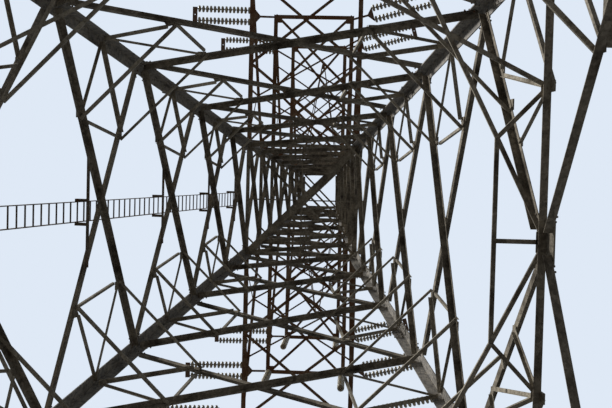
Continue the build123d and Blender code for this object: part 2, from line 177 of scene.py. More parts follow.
print("linear mid grey:", round(colour("#808080")[0], 3))

# %% [markdown]
# ## Weathered galvanised steel
# The bars are rolled angles, dipped whole in molten zinc. Decades of rain turn the bright zinc
# into a dull patina, and its iron-zinc layer blooms brown where the coat has worn thin. One
# image per bar would be heavy and would show seams, so noise on Object coordinates does the
# work: broad patches about 300 mm long, spangle of a few centimetres, streaks that run down the
# bars, and small spots of rust. Real spangle is 5 to 15 mm, half that at this scale and too fine
# for this view, so it is drawn several times as coarse. The legs kept more of their zinc and
# stay a neutral grey. The rust gathers towards the tips of the crossarms, so their material
# asks how far out a point is. Old zinc hardly shines, so metallic and specular stay low.

# %% The steel finish
patch_size, spangle_size, spot_size = 0.30, 0.030, 0.055
streak_width, streak_length = 0.018, 0.50
tip_rust_from, tip_rust_full = 2.9, 3.45
washed_dirt = "#383028"


def weathered_steel(name, zinc, pale, bloom, rust, bloom_from, rust_from, tip_rust=0.0):
    """Galvanised steel: zinc with pale patina, brown bloom in patches, and spots of rust."""
    tree, shader = new_material(name)
    place = add_node(tree, "ShaderNodeTexCoord", {}, {}).outputs["Object"]
    patches = add_node(tree, "ShaderNodeTexNoise",
                       {"Scale": 1 / patch_size, "Detail": 5.0, "Roughness": 0.62},
                       {"Vector": place})
    spangle = add_node(tree, "ShaderNodeTexVoronoi", {"Scale": 1 / spangle_size},
                       {"Vector": place})
    stretched = add_node(tree, "ShaderNodeMapping",
                         {"Scale": (1 / streak_width, 1 / streak_width, 1 / streak_length)},
                         {"Vector": place})
    streaks = add_node(tree, "ShaderNodeTexNoise", {"Scale": 1.0, "Detail": 3.0},
                       {"Vector": stretched.outputs["Vector"]})
    spots = add_node(tree, "ShaderNodeTexNoise",
                     {"Scale": 1 / spot_size, "Detail": 6.0, "Roughness": 0.7},
                     {"Vector": place})

    grain = add_node(tree, "ShaderNodeMapRange",
                     {"From Min": 0.0, "From Max": 1.0, "To Min": 0.0, "To Max": 0.55},
                     {"Value": spangle.outputs["Color"]})
    base = add_node(tree, "ShaderNodeMix", {"data_type": "RGBA", 6: colour(zinc), 7: colour(pale)},
                    {0: grain.outputs["Result"]})
    bloom_mask = add_node(tree, "ShaderNodeMapRange",
                          {"From Min": bloom_from, "From Max": bloom_from + 0.20},
                          {"Value": patches.outputs["Fac"]})
    bloomed = add_node(tree, "ShaderNodeMix", {"data_type": "RGBA", 7: colour(bloom)},
                       {0: bloom_mask.outputs["Result"], 6: base.outputs[2]})
    wash_mask = add_node(tree, "ShaderNodeMapRange",
                         {"From Min": 0.50, "From Max": 0.72, "To Min": 0.0, "To Max": 0.45},
                         {"Value": streaks.outputs["Fac"]})
    washed = add_node(tree, "ShaderNodeMix", {"data_type": "RGBA", 7: colour(washed_dirt)},
                      {0: wash_mask.outputs["Result"], 6: bloomed.outputs[2]})
    rust_mask = add_node(tree, "ShaderNodeMapRange",
                         {"From Min": rust_from, "From Max": rust_from + 0.08},
                         {"Value": spots.outputs["Fac"]})
    rust_share = rust_mask.outputs["Result"]
    if tip_rust:
        split = add_node(tree, "ShaderNodeSeparateXYZ", {}, {"Vector": place})
        reach = add_node(tree, "ShaderNodeMath", {"operation": "ABSOLUTE"},
                         {0: split.outputs["X"]})
        tip = add_node(tree, "ShaderNodeMapRange",
                       {"From Min": tip_rust_from, "From Max": tip_rust_full,
                        "To Min": 0.0, "To Max": tip_rust},
                       {"Value": reach.outputs["Value"]})
        patchy = add_node(tree, "ShaderNodeMath", {"operation": "MULTIPLY"},
                          {0: tip.outputs["Result"], 1: patches.outputs["Fac"]})
        rust_share = add_node(tree, "ShaderNodeMath", {"operation": "ADD", "use_clamp": True},
                              {0: patchy.outputs["Value"], 1: rust_share}).outputs["Value"]
    rusted = add_node(tree, "ShaderNodeMix", {"data_type": "RGBA", 7: colour(rust)},
                      {0: rust_share, 6: washed.outputs[2]})
    rough = add_node(tree, "ShaderNodeMapRange", {"To Min": 0.62, "To Max": 0.88},
                     {"Value": patches.outputs["Fac"]})
    relief = add_node(tree, "ShaderNodeBump", {"Strength": 0.25, "Distance": 0.0015},
                      {"Height": spots.outputs["Fac"]})
    tree.links.new(rusted.outputs[2], shader.inputs["Base Color"])
    tree.links.new(rough.outputs["Result"], shader.inputs["Roughness"])
    tree.links.new(relief.outputs["Normal"], shader.inputs["Normal"])
    shader.inputs["Metallic"].default_value = 0.05
    shader.inputs["Specular IOR Level"].default_value = 0.04
    return bpy.data.materials[name]


# %% Six coats of zinc
# Legs: thick hot-dip zinc with a grey zinc carbonate patina, which reads neutral and even
leg_steel = weathered_steel("hot_dip_galvanised_legs",
                            "#747270", "#d2c8b6", "#504b46", "#584636", 0.57, 0.66)
# Bracing: thinner zinc whose iron-zinc layer shows through, which reads as a dull brown-grey
bracing_steel = weathered_steel("weathered_galvanised_bracing",
                                "#777064", "#c6baa5", "#4e463c", "#553f2d", 0.47, 0.64)
# Crossarms: the same coat, thinner again, with rust at the tips where fittings rub
arm_steel = weathered_steel("weathered_galvanised_arms",
                            "#87705a", "#a68d72", "#6b4c37", "#774e36", 0.38, 0.58, 0.8)
# Fine members: light angles that weather fast and catch pale dust
fine_steel = weathered_steel("weathered_galvanised_light_angles",
                             "#888071", "#d4cab7", "#5a5043", "#57402d", 0.51, 0.66)
# Ladder: flat bar and rod that boots have rubbed, so there is more rust and less bloom
ladder_steel = weathered_steel("worn_galvanised_ladder",
                               "#6e6357", "#887b6a", "#574a3a", "#68432a", 0.48, 0.57)
# Bolts: spun galvanised, lighter than the bars, with rust on their edges
bolt_steel = weathered_steel("spun_galvanised_bolts",
                             "#857d74", "#a39b91", "#67594a", "#6d452b", 0.50, 0.58)
print("steel finishes:", len([m for m in bpy.data.materials if "galvanised" in m.name]))

# %% [markdown]
# ## Rusty forged fittings
# Links, yoke plates and disc caps are forged or cast. Their zinc is long gone, so they are an
# even red-brown with darker pits. A ramp of three browns over one fine noise is enough here,
# because no piece of it is large in the picture.

# %% Fittings
tree, shader = new_material("rusted_forged_fittings")
place = add_node(tree, "ShaderNodeTexCoord", {}, {}).outputs["Object"]
pit_size = 0.020
pits = add_node(tree, "ShaderNodeTexNoise",
                {"Scale": 1 / pit_size, "Detail": 6.0, "Roughness": 0.65}, {"Vector": place})
shades = add_node(tree, "ShaderNodeValToRGB", {}, {"Fac": pits.outputs["Fac"]})
set_ramp(shades, [(0.30, colour("#2f241c")), (0.52, colour("#543c2b")),
                  (0.72, colour("#72543c"))])
rough = add_node(tree, "ShaderNodeMapRange", {"To Min": 0.62, "To Max": 0.9},
                 {"Value": pits.outputs["Fac"]})
relief = add_node(tree, "ShaderNodeBump", {"Strength": 0.4, "Distance": 0.001},
                  {"Height": pits.outputs["Fac"]})
tree.links.new(shades.outputs["Color"], shader.inputs["Base Color"])
tree.links.new(rough.outputs["Result"], shader.inputs["Roughness"])
tree.links.new(relief.outputs["Normal"], shader.inputs["Normal"])
shader.inputs["Metallic"].default_value = 0.15
fitting_steel = bpy.data.materials["rusted_forged_fittings"]
print("pits are about", round(pit_size * 1000), "mm across")

# %% [markdown]
# ## Dusty glass
# The discs are pressed toughened glass. From below they look a dusty olive gold, because the
# dust on them scatters the light and little comes through from behind. A clear glass shader
# would need many bounces and would read as a hole in the picture, so most of the body here is
# the dust, with a little transmission left in and a surface that is rougher in some clouds.

# %% Glass
tree, shader = new_material("dusty_toughened_glass")
place = add_node(tree, "ShaderNodeTexCoord", {}, {}).outputs["Object"]
dust_size = 0.060
dust = add_node(tree, "ShaderNodeTexNoise", {"Scale": 1 / dust_size, "Detail": 4.0},
                {"Vector": place})
shades = add_node(tree, "ShaderNodeValToRGB", {}, {"Fac": dust.outputs["Fac"]})
set_ramp(shades, [(0.35, colour("#6a614c")), (0.62, colour("#b5a37b"))])
rough = add_node(tree, "ShaderNodeMapRange", {"To Min": 0.12, "To Max": 0.45},
                 {"Value": dust.outputs["Fac"]})
tree.links.new(shades.outputs["Color"], shader.inputs["Base Color"])
tree.links.new(rough.outputs["Result"], shader.inputs["Roughness"])
shader.inputs["IOR"].default_value = 1.52
shader.inputs["Transmission Weight"].default_value = 0.12
glass = bpy.data.materials["dusty_toughened_glass"]
print("dust clouds are about", round(dust_size * 1000), "mm across")

# %% [markdown]
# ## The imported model's own finish
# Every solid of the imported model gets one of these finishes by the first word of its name.
# What is named neither leg, foot, arm, ladder nor fitting is bracing.

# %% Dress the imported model
finishes = {"leg": leg_steel, "foot": leg_steel, "arm": arm_steel, "earthwire": arm_steel,
            "ladder": ladder_steel, "tension": fitting_steel, "pilot": fitting_steel}
for name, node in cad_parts.items():
    node.data.materials.clear()
    node.data.materials.append(finishes.get(name.split("_")[0], bracing_steel))
print("dressed", len(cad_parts), "CAD nodes")

# %% [markdown]
# ## How a bar, a plate and a bolt are made
# An angle bar is one L-shaped face pushed along its length. A flat bar or a plate is a cube
# stretched to size. A bolt head is a cone tool with six sides and nearly equal ends, so it is a
# short hexagon. Each helper works into a bmesh that holds many pieces of one kind, because one
# object with a thousand bolts is far lighter to handle than a thousand objects.

# %% Angle and flat bars


def bar_frame(start, end, outwards):
    """Matrix at the start of a bar: Z runs along it and Y points away from outwards."""
    along = (end - start).normalized()
    across = along.cross(outwards).normalized()
    turn = Matrix((across, along.cross(across), along)).transposed().to_4x4()
    return Matrix.Translation(start) @ turn


def add_angle(form, start, end, outwards, flange, thick):
    """Angle bar: one flange lies on its seat, the other points outwards."""
    turn = bar_frame(start, end, outwards)
    half = flange / 2
    section = [(-half, 0), (half, 0), (half, -thick), (thick - half, -thick),
               (thick - half, -flange), (-half, -flange)]
    face = form.faces.new([form.verts.new(turn @ Vector((x, y, 0))) for x, y in section])
    grown = bmesh.ops.extrude_face_region(form, geom=[face])
    moved = [item for item in grown["geom"] if isinstance(item, bmesh.types.BMVert)]
    bmesh.ops.translate(form, verts=moved, vec=end - start)


def add_flat(form, start, end, outwards, width, thick):
    """Flat bar whose seat is on the line and whose thickness points outwards."""
    length = (end - start).length
    size = Matrix.Diagonal((width, thick, length, 1))
    middle = Matrix.Translation((0, -thick / 2, length / 2))
    bmesh.ops.create_cube(form, size=1, matrix=bar_frame(start, end, outwards) @ middle @ size)


def shortened(start, end, cut_start, cut_end):
    """A run with a length cut from each end."""
    along = (end - start).normalized()
    return start + along * cut_start, end - along * cut_end


print("main bracing is angle of", round(brace_flange * 1000), "mm")

# %% Bolts and nuts
bolt_radius, bolt_head, nut_height = 0.0095, 0.0075, 0.011


def add_bolt(form, seat, outwards, height=bolt_head):
    """Hexagon head that stands on its seat."""
    turn = outwards.to_track_quat("Z", "Y").to_matrix().to_4x4()
    lift = Matrix.Translation(seat + outwards * height / 2)
    bmesh.ops.create_cone(form, cap_ends=True, segments=6, radius1=bolt_radius,
                          radius2=bolt_radius * 0.92, depth=height, matrix=lift @ turn)


print("bolt heads are", round(bolt_radius * 2000), "mm across")

# %% Finished pieces


def keep(form, name, materials):
    """Turn a bmesh into an object that rides on the tower and takes its finish from a slot."""
    bmesh.ops.recalc_face_normals(form, faces=form.faces)
    mesh = bpy.data.meshes.new(name)
    form.to_mesh(mesh)
    form.free()
    for material in materials:
        mesh.materials.append(material)
    piece = bpy.data.objects.new(name, mesh)
    bpy.context.scene.collection.objects.link(piece)
    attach(piece, "root")
    print(name, "has", len(mesh.polygons), "faces")
    return piece


# %% [markdown]
# ## Main bracing of the four sides
# Each side has crossed diagonals that rise from leg to leg. Around the belt, four shorter ones
# meet at the hub plate: two rise to the legs and two fall to them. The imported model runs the
# falling pair on to the feet, and the photograph shows them ending on the legs about a metre and
# a half below the belt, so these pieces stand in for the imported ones. Under them a level angle
# closes the panel and two braces spread to the feet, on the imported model's own line.
# One bar of a crossing lies outside the legs' flanges and the other inside, so that they pass.

# %% How a bar sits on a side
hub_spread, hub_drop = 0.095, 0.11
vee_spread, vee_rise = 0.105, 0.10
knee_level = 5.91
foot_brace_level = 0.244


def side_bar(form, low, high, normal, outside):
    """Main bar on a side, seated on the outside or the inside of the legs."""
    if outside:
        add_angle(form, low, high, normal, brace_flange, brace_thick)
    else:
        depth = normal * leg_thick
        add_angle(form, low - depth, high - depth, -normal, brace_flange, brace_thick)


def foot_brace_spread(height):
    """Distance of a foot brace from the side's middle at a height."""
    low = body_half(foot_brace_level) - leg_flange / 2
    share = (height - foot_brace_level) / (belt_height - hub_drop - foot_brace_level)
    return low + (hub_spread - low) * share


def flange_below(start, end, outwards):
    """Order of a bar's ends that puts its standing flange on its lower edge."""
    return (start, end) if (end - start).cross(outwards).z > 0 else (end, start)


def flange_above(start, end, outwards):
    """Order of a bar's ends that puts its standing flange on its upper edge."""
    return flange_below(end, start, outwards)


print("foot braces meet the level angle", round(foot_brace_spread(knee_level), 3), "m out")

# %% Where the main bars run


def half_side_runs(side, hand):
    """Main bars that belong to one hand of a side: both ends, and whether it lies outside."""
    knee_top = knee_level - brace_gap
    knee = flange_above(on_leg(side, hand, knee_level + brace_gap),
                        on_side(side, hand * hub_spread, belt_height - hub_drop),
                        -side_normal(side))
    runs = [(on_leg(side, hand, foot_brace_level),
             on_side(side, hand * foot_brace_spread(knee_top), knee_top), hand < 0),
            (*knee, False),
            (on_side(side, hand * vee_spread, belt_height + vee_rise),
             on_leg(side, hand, panel_levels[0] - brace_gap), hand > 0)]
    for bottom, top in zip(panel_levels, panel_levels[1:]):
        runs.append((on_leg(side, -hand, bottom + brace_gap),
                     on_leg(side, hand, top - brace_gap), hand > 0))
    return runs


diagonals = {side: half_side_runs(side, -1) + half_side_runs(side, 1) for side in range(4)}
for side in diagonals:
    diagonals[side].append((on_leg(side, -1, knee_level), on_leg(side, 1, knee_level), True))
print("main bars on a side:", len(diagonals[0]))

# %% Main bracing
for side, side_name in enumerate(side_names):
    form = bmesh.new()
    for low, high, outside in diagonals[side]:
        side_bar(form, low, high, side_normal(side), outside)
    piece = keep(form, f"main_bracing_{side_name}", [bracing_steel])
    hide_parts(f"lower_bracing_{side_name}")

# %% [markdown]
# ## The belt
# At the belt a level angle closes each side behind its hub plate, and a light level truss holds
# the side against the wind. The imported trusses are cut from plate. Here they are angles whose
# standing flange catches the light as a thin pale edge, on smaller plates. The front side keeps
# its packed belt, because the ladder's clips stand on it.

# %% Belt struts
hub_width, hub_height = 0.30, 0.34
belt_flange = 0.06
for side in (1, 2, 3):
    form = bmesh.new()
    inwards = -side_normal(side)
    ends = [on_leg(side, hand, belt_height, depth=-leg_thick) for hand in (-1, 1)]
    add_angle(form, *flange_above(*ends, inwards), inwards, belt_flange, brace_thick)
    low, high = [on_side(side, 0, belt_height + rise * hub_height) for rise in (-0.5, 0.5)]
    add_flat(form, low, high, inwards, hub_width, leg_thick)
    piece = keep(form, f"belt_strut_{side_names[side]}", [bracing_steel])
    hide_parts(f"belt_{side_names[side]}")

# %% [markdown]
# ## Level trusses behind the belt
# Each truss is a chord parallel to its side with bars that run back to the belt, and two ties
# cut off each corner. Bars that lie in one plane and overlap would flicker where their faces
# coincide, so each one is set a fraction of a millimetre above or below the next.

# %% Where the level bars run
plan_flange, plan_thick, plan_layer = 0.032, 0.004, 0.0008
middle_inset, belt_inset = 0.03, 0.02
belt_half = body_half(belt_height)
chord_line = -belt_half * 5 / 6
plan_runs = [((0, middle_inset - belt_half), (0, chord_line)),
             ((-belt_half / 3, chord_line), (belt_half / 3, chord_line))]
for hand in (-1, 1):
    plan_runs += [((hand * middle_inset, belt_inset - belt_half),
                   (hand * belt_half / 3, chord_line)),
                  ((hand * belt_half / 3, chord_line),
                   (hand * belt_half / 2, belt_inset - belt_half))]
corner_runs = [((belt_half / 3, chord_line), (belt_half - belt_inset, -belt_half / 2)),
               ((-chord_line, -belt_half / 3), (belt_half / 2, belt_inset - belt_half))]
print("level bars on a side:", len(plan_runs) + len(corner_runs))

# %% Level trusses
middle_plate, quarter_plate, plate_inset = 0.15, 0.07, 0.045
plate_depth, plate_thick = 0.06, 0.006


def add_level_angle(form, side, low_end, high_end, layer):
    """Level angle behind the belt, its standing flange to the front, where the light is."""
    height = belt_height + layer * plan_layer
    start, end = [side_turn(side) @ Vector((x, y, height)) for x, y in (low_end, high_end)]
    if end.x > start.x:
        start, end = end, start
    add_angle(form, start, end, Vector((0, 0, 1)), plan_flange, plan_thick)


def add_level_plate(form, side, across, width):
    """Small plate at a joint of level bars, just inside the belt."""
    place = Matrix.Translation((across, plate_inset - belt_half, belt_height + plate_thick / 2))
    size = Matrix.Diagonal((width, plate_depth, plate_thick, 1))
    bmesh.ops.create_cube(form, size=1, matrix=side_turn(side).to_4x4() @ place @ size)


form = bmesh.new()
corners = bmesh.new()
for side in range(4):
    for layer, run in enumerate(plan_runs):
        add_level_angle(form, side, *run, layer)
    for layer, run in enumerate(corner_runs):
        add_level_angle(corners, side, *run, layer - 2 - 2 * (side % 2))
    add_level_plate(form, side, 0, middle_plate)
    add_level_plate(form, side, -belt_half / 2, quarter_plate)
    add_level_plate(form, side, belt_half / 2, quarter_plate)
piece = keep(form, "belt_plan_trusses", [bracing_steel])
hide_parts("belt_plan_bracing")
piece = keep(corners, "belt_plan_corner_ties", [fine_steel])
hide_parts("belt_corner_ties")

# %% [markdown]
# ## Fine bracing
# A long diagonal buckles sideways before it is crushed, so each one is held at its middle by
# light angles from the leg. In three of the four crossed panels they make a small triangle at
# each leg: from the middle of the leg to the middle of each half diagonal, and between those
# two points. The fourth panel is too short to need them. Most of them are bolted to the inner
# face, on small gusset plates that fill the gap between the two layers of diagonals. The
# upright one of each triangle and a few around the belt lie on the outer face, where the
# photograph shows them with one lit edge. The points where they meet come from small
# functions, because ties and plates use the same points again.

# %% Points where light angles end
fine_thick = 0.004
vee_top = 9.13
gusset_cut, belt_cut, knee_cut = 0.05, 0.03, 0.02


def inner_point(side, hand, spread, height):
    """Point on the inner seat of a side, hand -1 for its left half."""
    return on_side(side, hand * spread, height, -leg_thick)


def leg_seat(side, hand, height):
    """Point on the inner face of a leg's flange."""
    return on_leg(side, hand, height, depth=-leg_thick)


def vee_point(share):
    """Spread and height of a point on the bar that rises from the hub, at a share of it."""
    foot = belt_height + vee_rise
    top_spread = body_half(vee_top) - leg_flange / 2
    return vee_spread + (top_spread - vee_spread) * share, foot + (vee_top - foot) * share


def knee_middle():
    """Spread and height of the middle of the bar that falls from the hub."""
    low, high = knee_level + brace_gap, belt_height - hub_drop
    return (body_half(low) - leg_flange / 2 + hub_spread) / 2, (low + high) / 2


print("middle of a falling brace:", [round(value, 2) for value in knee_middle()], "m")

# %% Light angles of the crossed panels
slim, light, broad = 0.026, 0.032, 0.042


def panel_halves(bottom, top):
    """Spread and height of the middles of the lower and the upper half diagonal."""
    low, high = bottom + brace_gap, top - brace_gap
    low_spread = body_half(low) - leg_flange / 2
    high_spread = body_half(high) - leg_flange / 2
    crossing = low + (high - low) * low_spread / (low_spread + high_spread)
    return (low_spread / 2, (low + crossing) / 2), (high_spread / 2, (high + crossing) / 2)


def panel_runs(side, hand, bottom, top):
    """Light angles of one corner of a panel: ends, flange, cuts, and if it lies outside."""
    lower, upper = [inner_point(side, hand, *point) for point in panel_halves(bottom, top)]
    middle = leg_seat(side, hand, (bottom + top) / 2)
    flanges = (slim, broad) if hand > 0 else (broad, slim)
    return [(middle, lower, flanges[0], 0.0, gusset_cut, False),
            (middle, upper, flanges[1], 0.0, gusset_cut, False),
            (lower, upper, 0.028, gusset_cut, gusset_cut, True)]


fine_panels = list(zip(panel_levels[:-2], panel_levels[1:-1]))
print("panels with fine bracing:", len(fine_panels))

# %% Light angles above and below the belt
belt_tie_level, knee_tie_level, knee_tie_drop = 8.30, 6.70, 0.10
foot_tie_levels, foot_tie_rise, foot_tie_drop = (2.1, 4.0), 0.25, 0.9


def belt_runs(side, hand):
    """Light angles between the belt, the leg above it and the bar that rises from the hub."""
    near, far = [inner_point(side, hand, *vee_point(share)) for share in (1 / 3, 2 / 3)]
    quarter = inner_point(side, hand, belt_half / 2, belt_height)
    leg_point = leg_seat(side, hand, belt_tie_level)
    return [(leg_point, far, light, 0.0, gusset_cut, False),
            (quarter, far, light, belt_cut, gusset_cut, False),
            (leg_point, quarter, 0.034, 0.0, knee_cut, True),
            (quarter, near, light, belt_cut, gusset_cut, False)]


def knee_runs(side, hand):
    """Light angles from the leg to the middle of the bar that falls from the hub."""
    middle = inner_point(side, hand, *knee_middle())
    return [(leg_seat(side, hand, knee_tie_level), middle, 0.06, 0.0, knee_cut, True),
            (leg_seat(side, hand, belt_height - knee_tie_drop), middle, light, 0.0, belt_cut,
             True)]


def foot_runs(side, hand):
    """Light angles from the leg to the brace that spreads to the foot."""
    runs = []
    for height in foot_tie_levels:
        point = inner_point(side, hand, foot_brace_spread(height), height)
        runs += [(leg_seat(side, hand, height + foot_tie_rise), point, 0.045, 0.0, gusset_cut,
                  False),
                 (leg_seat(side, hand, height - foot_tie_drop), point, 0.035, 0.0, gusset_cut,
                  False)]
    return runs


print("light angles at a foot:", len(foot_runs(0, 1)))

# %% Fine bracing of the sides


def add_light_angle(form, side, start, end, flange, cut_start, cut_end, outside):
    """One light angle, cut short at its ends, on the inner or the outer face of a side."""
    normal = side_normal(side)
    start, end = shortened(start, end, cut_start, cut_end)
    if outside:
        lift = normal * leg_thick
        add_angle(form, *flange_below(start + lift, end + lift, normal), normal, flange,
                  fine_thick)
    else:
        add_angle(form, start, end, -normal, flange, fine_thick)


for side, side_name in enumerate(side_names):
    form = bmesh.new()
    for hand in (-1, 1):
        runs = [run for panel in fine_panels for run in panel_runs(side, hand, *panel)]
        runs += belt_runs(side, hand) + knee_runs(side, hand) + foot_runs(side, hand)
        for run in runs:
            add_light_angle(form, side, *run)
    keep(form, f"fine_bracing_{side_name}", [fine_steel])

# %% [markdown]
# ## Level ties across the corners
# From the points where the light angles meet, level angles cross to the next side at 45
# degrees. They hold the two sides square to each other. In the photograph they cut across each
# corner as short parallel bars. One list holds where they start, because the gusset plates of
# the next step stand at the same points.

# %% Level ties
tie_inset = 0.03
tie_points = []
for bottom, top in fine_panels:
    lower, upper = panel_halves(bottom, top)
    tie_points += [(*lower, 0.033), (*upper, 0.026)]
tie_points += [(*vee_point(1 / 2), 0.030), (*knee_middle(), 0.034)]

form = bmesh.new()
for side in range(4):
    for spread, height, flange in tie_points:
        start = inner_point(side, 1, spread - tie_inset, height)
        end = inner_point((side + 1) % 4, -1, spread - tie_inset, height)
        add_angle(form, start, end, Vector((0, 0, 1)), flange, fine_thick)
keep(form, "corner_ties_fine", [fine_steel])

# %% [markdown]
# ## Gusset plates of the sides
# A gusset joins bars that can't be bolted to each other. Plain plates, cut square, are how such
# a tower is usually made, and they are as thick as the gap between the layers of bars, so they
# pack that gap as well. A plate is a cube stretched to size that leans with its side.

# %% Gussets
gusset, small_gusset, knee_gusset = 0.09, 0.072, 0.2
belt_gusset_width, belt_gusset_rise, gusset_drop = 0.08, 0.10, 0.03
tie_shift, brace_shift = 0.035, 0.03


def add_side_plate(form, side, across, height, width, rise, depth, thick):
    """Plate in a side of the body, its lower face at a depth."""
    normal = side_normal(side)
    middle = on_side(side, across, height, depth)
    upwards = normal.cross(side_turn(side) @ Vector((1, 0, 0)))
    add_flat(form, middle - upwards * rise / 2, middle + upwards * rise / 2, normal, width, thick)


def gusset_places():
    """Spread, height, width and rise of the plates of one half side."""
    places = [(spread + tie_shift, height, gusset, gusset)
              for spread, height, flange in tie_points]
    places += [(belt_half / 2, belt_height - gusset_drop, belt_gusset_width, belt_gusset_rise),
               (foot_brace_spread(knee_level), knee_level - gusset_drop, knee_gusset,
                knee_gusset)]
    for share in (1 / 3, 2 / 3):
        spread, height = vee_point(share)
        places.append((spread + brace_shift, height, small_gusset, small_gusset))
    for height in foot_tie_levels:
        places.append((foot_brace_spread(height) + brace_shift, height, gusset, gusset))
    return places


form = bmesh.new()
for side, hand in itertools.product(range(4), (-1, 1)):
    for spread, height, width, rise in gusset_places():
        add_side_plate(form, side, hand * spread, height, width, rise, -leg_thick, leg_thick)
keep(form, "gusset_plates", [bracing_steel])

# %% [markdown]
# ## Bolts of the sides
# Each main bar is held by three bolts at each end, each bar of the upper body by two, and the
# hub plate carries two columns of six. The bolts are placed by walking along the same bars
# that were drawn before, so none of them can miss its bar. Heads sit on the bar, and nuts on
# the far side of the flange or plate behind it.

# %% Rows of bolts
bolt_edge, bolt_pitch = 0.028, 0.045
upper_thick = 0.005


def bolt_row(form, start, end, outwards, reach, count):
    """Bolts along a bar from its start, with nuts on the far side of the plate behind."""
    along = (end - start).normalized()
    for index in range(count):
        seat = start + along * (bolt_edge + index * bolt_pitch)
        add_bolt(form, seat + outwards * reach, outwards)
        add_bolt(form, seat - outwards * leg_thick, -outwards, nut_height)


def bolt_bar(form, low, high, normal, outside, reach, count):
    """Bolts at both ends of a bar that lies outside or inside the legs."""
    outwards = normal if outside else -normal
    offset = Vector() if outside else normal * -leg_thick
    bolt_row(form, low + offset, high + offset, outwards, reach, count)
    bolt_row(form, high + offset, low + offset, outwards, reach, count)


print("bolts sit", round(bolt_pitch * 1000), "mm apart")

# %% Bolts of the sides
hub_bolt_spread, hub_bolt_pitch, hub_bolt_rows = 0.125, 0.054, 6
for side, side_name in enumerate(side_names):
    form = bmesh.new()
    normal, upper_normal = side_normal(side), side_normal(side, True)
    for low, high, outside in diagonals[side]:
        bolt_bar(form, low, high, normal, outside, brace_thick, 3)
    for row, hand in itertools.product(range(hub_bolt_rows), (-1, 1)):
        height = belt_height + (row - (hub_bolt_rows - 1) / 2) * hub_bolt_pitch
        across = hand * hub_bolt_spread
        add_bolt(form, on_side(side, across, height), normal)
        add_bolt(form, on_side(side, across, height, -leg_thick), -normal, nut_height)
    for bottom, top in zip(upper_levels, upper_levels[1:]):
        for hand in (-1, 1):
            low = on_leg(side, -hand, bottom + upper_gap, upper_leg_flange, 0, True)
            high = on_leg(side, hand, top - upper_gap, upper_leg_flange, 0, True)
            bolt_bar(form, low, high, upper_normal, hand > 0, upper_thick, 2)
    keep(form, f"bolts_{side_name}", [bolt_steel])

# %% [markdown]
# ## Leg splices
# A leg is rolled in lengths, and each joint is covered by a plate on both flanges with rows of
# bolts. From below these plates break the long smooth line of the leg, as they do on the tower.

# %% Splices of the legs
splice_heights = [3.1, 8.75, 12.2, 15.2]
splice_width, splice_rise, splice_thick, splice_inset = 0.095, 0.42, 0.008, 0.006
splice_rows, splice_pitch, splice_gauge = 6, 0.068, 0.024


def splice_across(hand, height):
    """Distance of a splice's middle from the middle of its side."""
    return hand * (body_half(height) - leg_flange / 2 - splice_inset)


form = bmesh.new()
bolts = bmesh.new()
for side, hand, height in itertools.product(range(4), (-1, 1), splice_heights):
    normal, depth = side_normal(side), -leg_thick - splice_thick
    add_side_plate(form, side, splice_across(hand, height), height, splice_width, splice_rise,
                   depth, splice_thick)
    for row, shift in itertools.product(range(splice_rows), (-splice_gauge, splice_gauge)):
        level = height + (row - (splice_rows - 1) / 2) * splice_pitch
        across = splice_across(hand, level) + shift
        add_bolt(bolts, on_side(side, across, level, depth), -normal)
        add_bolt(bolts, on_side(side, across, level), normal, nut_height)
keep(form, "leg_splice_plates", [leg_steel])
keep(bolts, "leg_splice_bolts", [bolt_steel])

# %% [markdown]
# ## Crossarm lacing
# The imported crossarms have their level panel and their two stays. Between them the real arm has
# light flats: posts and slanting bars in each side, and crossed bars between the stays. Each
# row of arms hangs its chords at one level of the body and its stays at the next one up.

# %% Lacing of the crossarms
arm_reaches = (3.64, 3.46, 3.26)
arm_rows = [(reach, upper_levels[2 * row], upper_levels[2 * row + 1])
            for row, reach in enumerate(arm_reaches)]
chord_size, chord_thick, stay_size, stay_lift = 0.075, 0.008, 0.05, 0.01
lace_width, lace_inset, lace_cut = 0.035, 0.002, 0.01
stay_brace_width, stay_brace_thick, stay_brace_inset = 0.028, 0.005, 0.02


def lace_side(form, end, foot, stay_root, stay_tip, stay_half, half):
    """Posts and slanting bars in one side of an arm, between its chord and its stay."""
    low = [Vector((foot.x + (stay_tip.x - foot.x) * share, foot.y, foot.z))
           for share in (0, 1 / 3, 2 / 3)]
    root = Vector((stay_root.x, end * stay_half, stay_root.z))
    tip = Vector((stay_tip.x, end * half, stay_tip.z + chord_thick))
    high = [root.lerp(tip, share) for share in (1 / 3, 2 / 3)]
    for start, stop in ((low[1], high[0]), (low[0], high[0]), (low[2], high[1]),
                        (low[1], high[1])):
        start, stop = shortened(start, stop, lace_cut, 0.0)
        add_flat(form, start, stop, Vector((0, -end, 0)), lace_width, chord_thick)


def lace_arm(form, hand, reach, height, stay_height):
    """Lacing of both sides of an arm, and two crossings between its stays."""
    half, stay_half = body_half(height), body_half(stay_height)
    stay_root = Vector((hand * stay_half, 0, stay_height + stay_lift + stay_size / 2))
    stay_tip = Vector((hand * (reach - chord_thick), 0, height))
    roof = (stay_tip - stay_root).cross(Vector((0, hand, 0))).normalized()

    def stay_point(share, end):
        """Point beside a stay, at a share of its length."""
        spread = stay_half + (half - stay_half) * share - stay_brace_inset
        return stay_root.lerp(stay_tip, share) + Vector((0, end * spread, 0))

    for end in (-1, 1):
        foot = Vector((hand * half, end * (half - lace_inset), height + chord_thick))
        lace_side(form, end, foot, stay_root, stay_tip, stay_half, half)
    for share, end in itertools.product((0, 1 / 3), (-1, 1)):
        add_flat(form, stay_point(share, end), stay_point(share + 1 / 3, -end), -roof,
                 stay_brace_width, stay_brace_thick)


form = bmesh.new()
for row, hand in itertools.product(arm_rows, (-1, 1)):
    lace_arm(form, hand, *row)
keep(form, "arm_lacing", [arm_steel])

